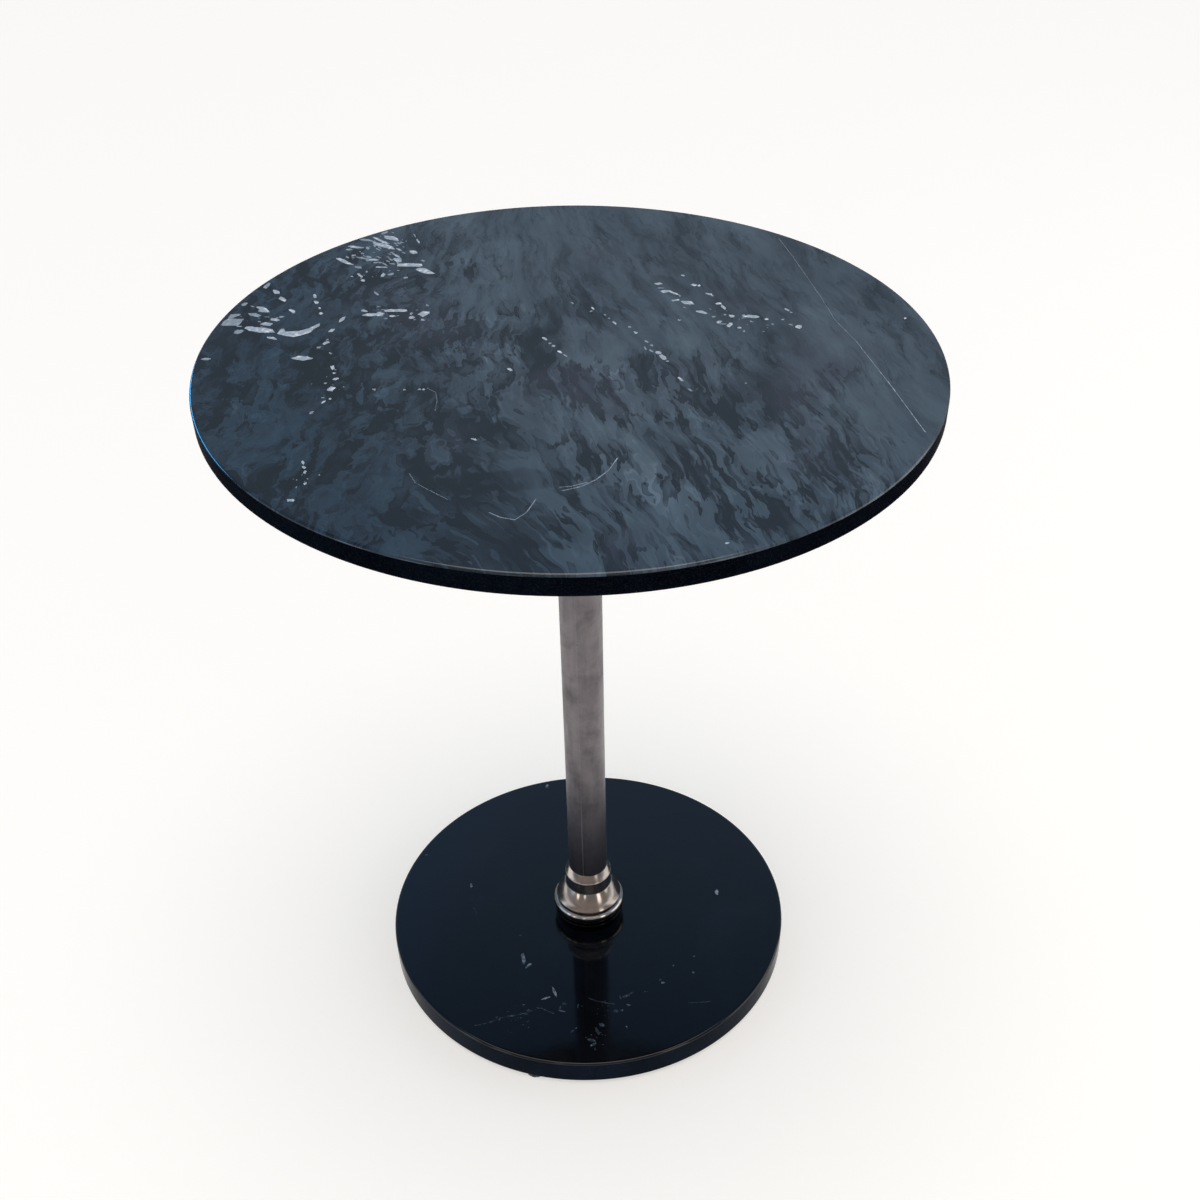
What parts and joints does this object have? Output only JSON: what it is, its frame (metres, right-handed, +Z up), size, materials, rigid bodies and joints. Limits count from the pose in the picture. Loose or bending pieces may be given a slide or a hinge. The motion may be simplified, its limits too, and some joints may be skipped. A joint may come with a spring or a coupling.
{
  "type": "round pedestal table",
  "caption": "Round stone-topped pedestal table: one plated column with a turned collar, clamped to a round stone base on levelling glides.",
  "frame": {"origin": "on the floor under the column's axis", "axes": "+Z up along the column; -Y is the side the viewer stands on; the first glide is near -Y"},
  "size_m": [0.6399, 0.64, 0.732],
  "materials": {
    "top_stone": "polished, clouded dark marble with fine white veins",
    "base_stone": "polished, nearly black marble with a few thin veins",
    "polished_nickel": "polished nickel plate",
    "tube_nickel": "satin nickel plate, lightly smudged",
    "black_steel": "black powder coat",
    "zinc_steel": "zinc-plated steel",
    "brass": "machined brass",
    "rubber": "matte black rubber",
    "black_plastic": "moulded black nylon"
  },
  "bodies": {
    "table": {"marble_top": "top_stone", "top_inserts": "brass", "top_gasket": "rubber", "top_plate": "black_steel", "top_screws": "zinc_steel", "top_socket": "polished_nickel", "rod_anchor": "zinc_steel", "column_tube": "tube_nickel", "tie_rod": "zinc_steel", "collar_cup": "polished_nickel", "collar_neck": "polished_nickel", "collar_dome": "polished_nickel", "collar_bead": "polished_nickel", "collar_plinth": "polished_nickel", "tube_foot_plug": "zinc_steel", "foot_seal": "rubber", "marble_base": "base_stone", "base_clamp_plate": "zinc_steel", "base_spring_washer": "zinc_steel", "base_nut": "zinc_steel", "recess_cap": "black_plastic", "glide_inserts": "brass"},
    "glide_foot_1": {"glide_pad_1": "black_plastic"},
    "glide_screw_1": {"glide_stem_1": "zinc_steel"},
    "glide_foot_2": {"glide_pad_2": "black_plastic"},
    "glide_screw_2": {"glide_stem_2": "zinc_steel"},
    "glide_foot_3": {"glide_pad_3": "black_plastic"},
    "glide_screw_3": {"glide_stem_3": "zinc_steel"}
  },
  "joints": [
    {"name": "glide_height_1", "type": "slide", "parent": "table", "child": "glide_foot_1", "axis": [0, 0, -1], "range_m": [0, 0.006]},
    {"name": "glide_turn_1", "type": "hinge", "parent": "glide_foot_1", "child": "glide_screw_1", "pos_m": [-0.06227, -0.20369, 0.004], "axis": [0, 0, -1], "range_deg": [0, 1730]},
    {"name": "glide_height_2", "type": "slide", "parent": "table", "child": "glide_foot_2", "axis": [0, 0, -1], "range_m": [0, 0.006]},
    {"name": "glide_turn_2", "type": "hinge", "parent": "glide_foot_2", "child": "glide_screw_2", "pos_m": [0.20754, 0.04791, 0.004], "axis": [0, 0, -1], "range_deg": [0, 1730]},
    {"name": "glide_height_3", "type": "slide", "parent": "table", "child": "glide_foot_3", "axis": [0, 0, -1], "range_m": [0, 0.006]},
    {"name": "glide_turn_3", "type": "hinge", "parent": "glide_foot_3", "child": "glide_screw_3", "pos_m": [-0.14527, 0.15578, 0.004], "axis": [0, 0, -1], "range_deg": [0, 1730]}
  ],
  "couplings": [
    {"joint": "glide_turn_1", "follows": "glide_height_1", "rad_per_m": 5026.5},
    {"joint": "glide_turn_2", "follows": "glide_height_2", "rad_per_m": 5026.5},
    {"joint": "glide_turn_3", "follows": "glide_height_3", "rad_per_m": 5026.5}
  ]
}
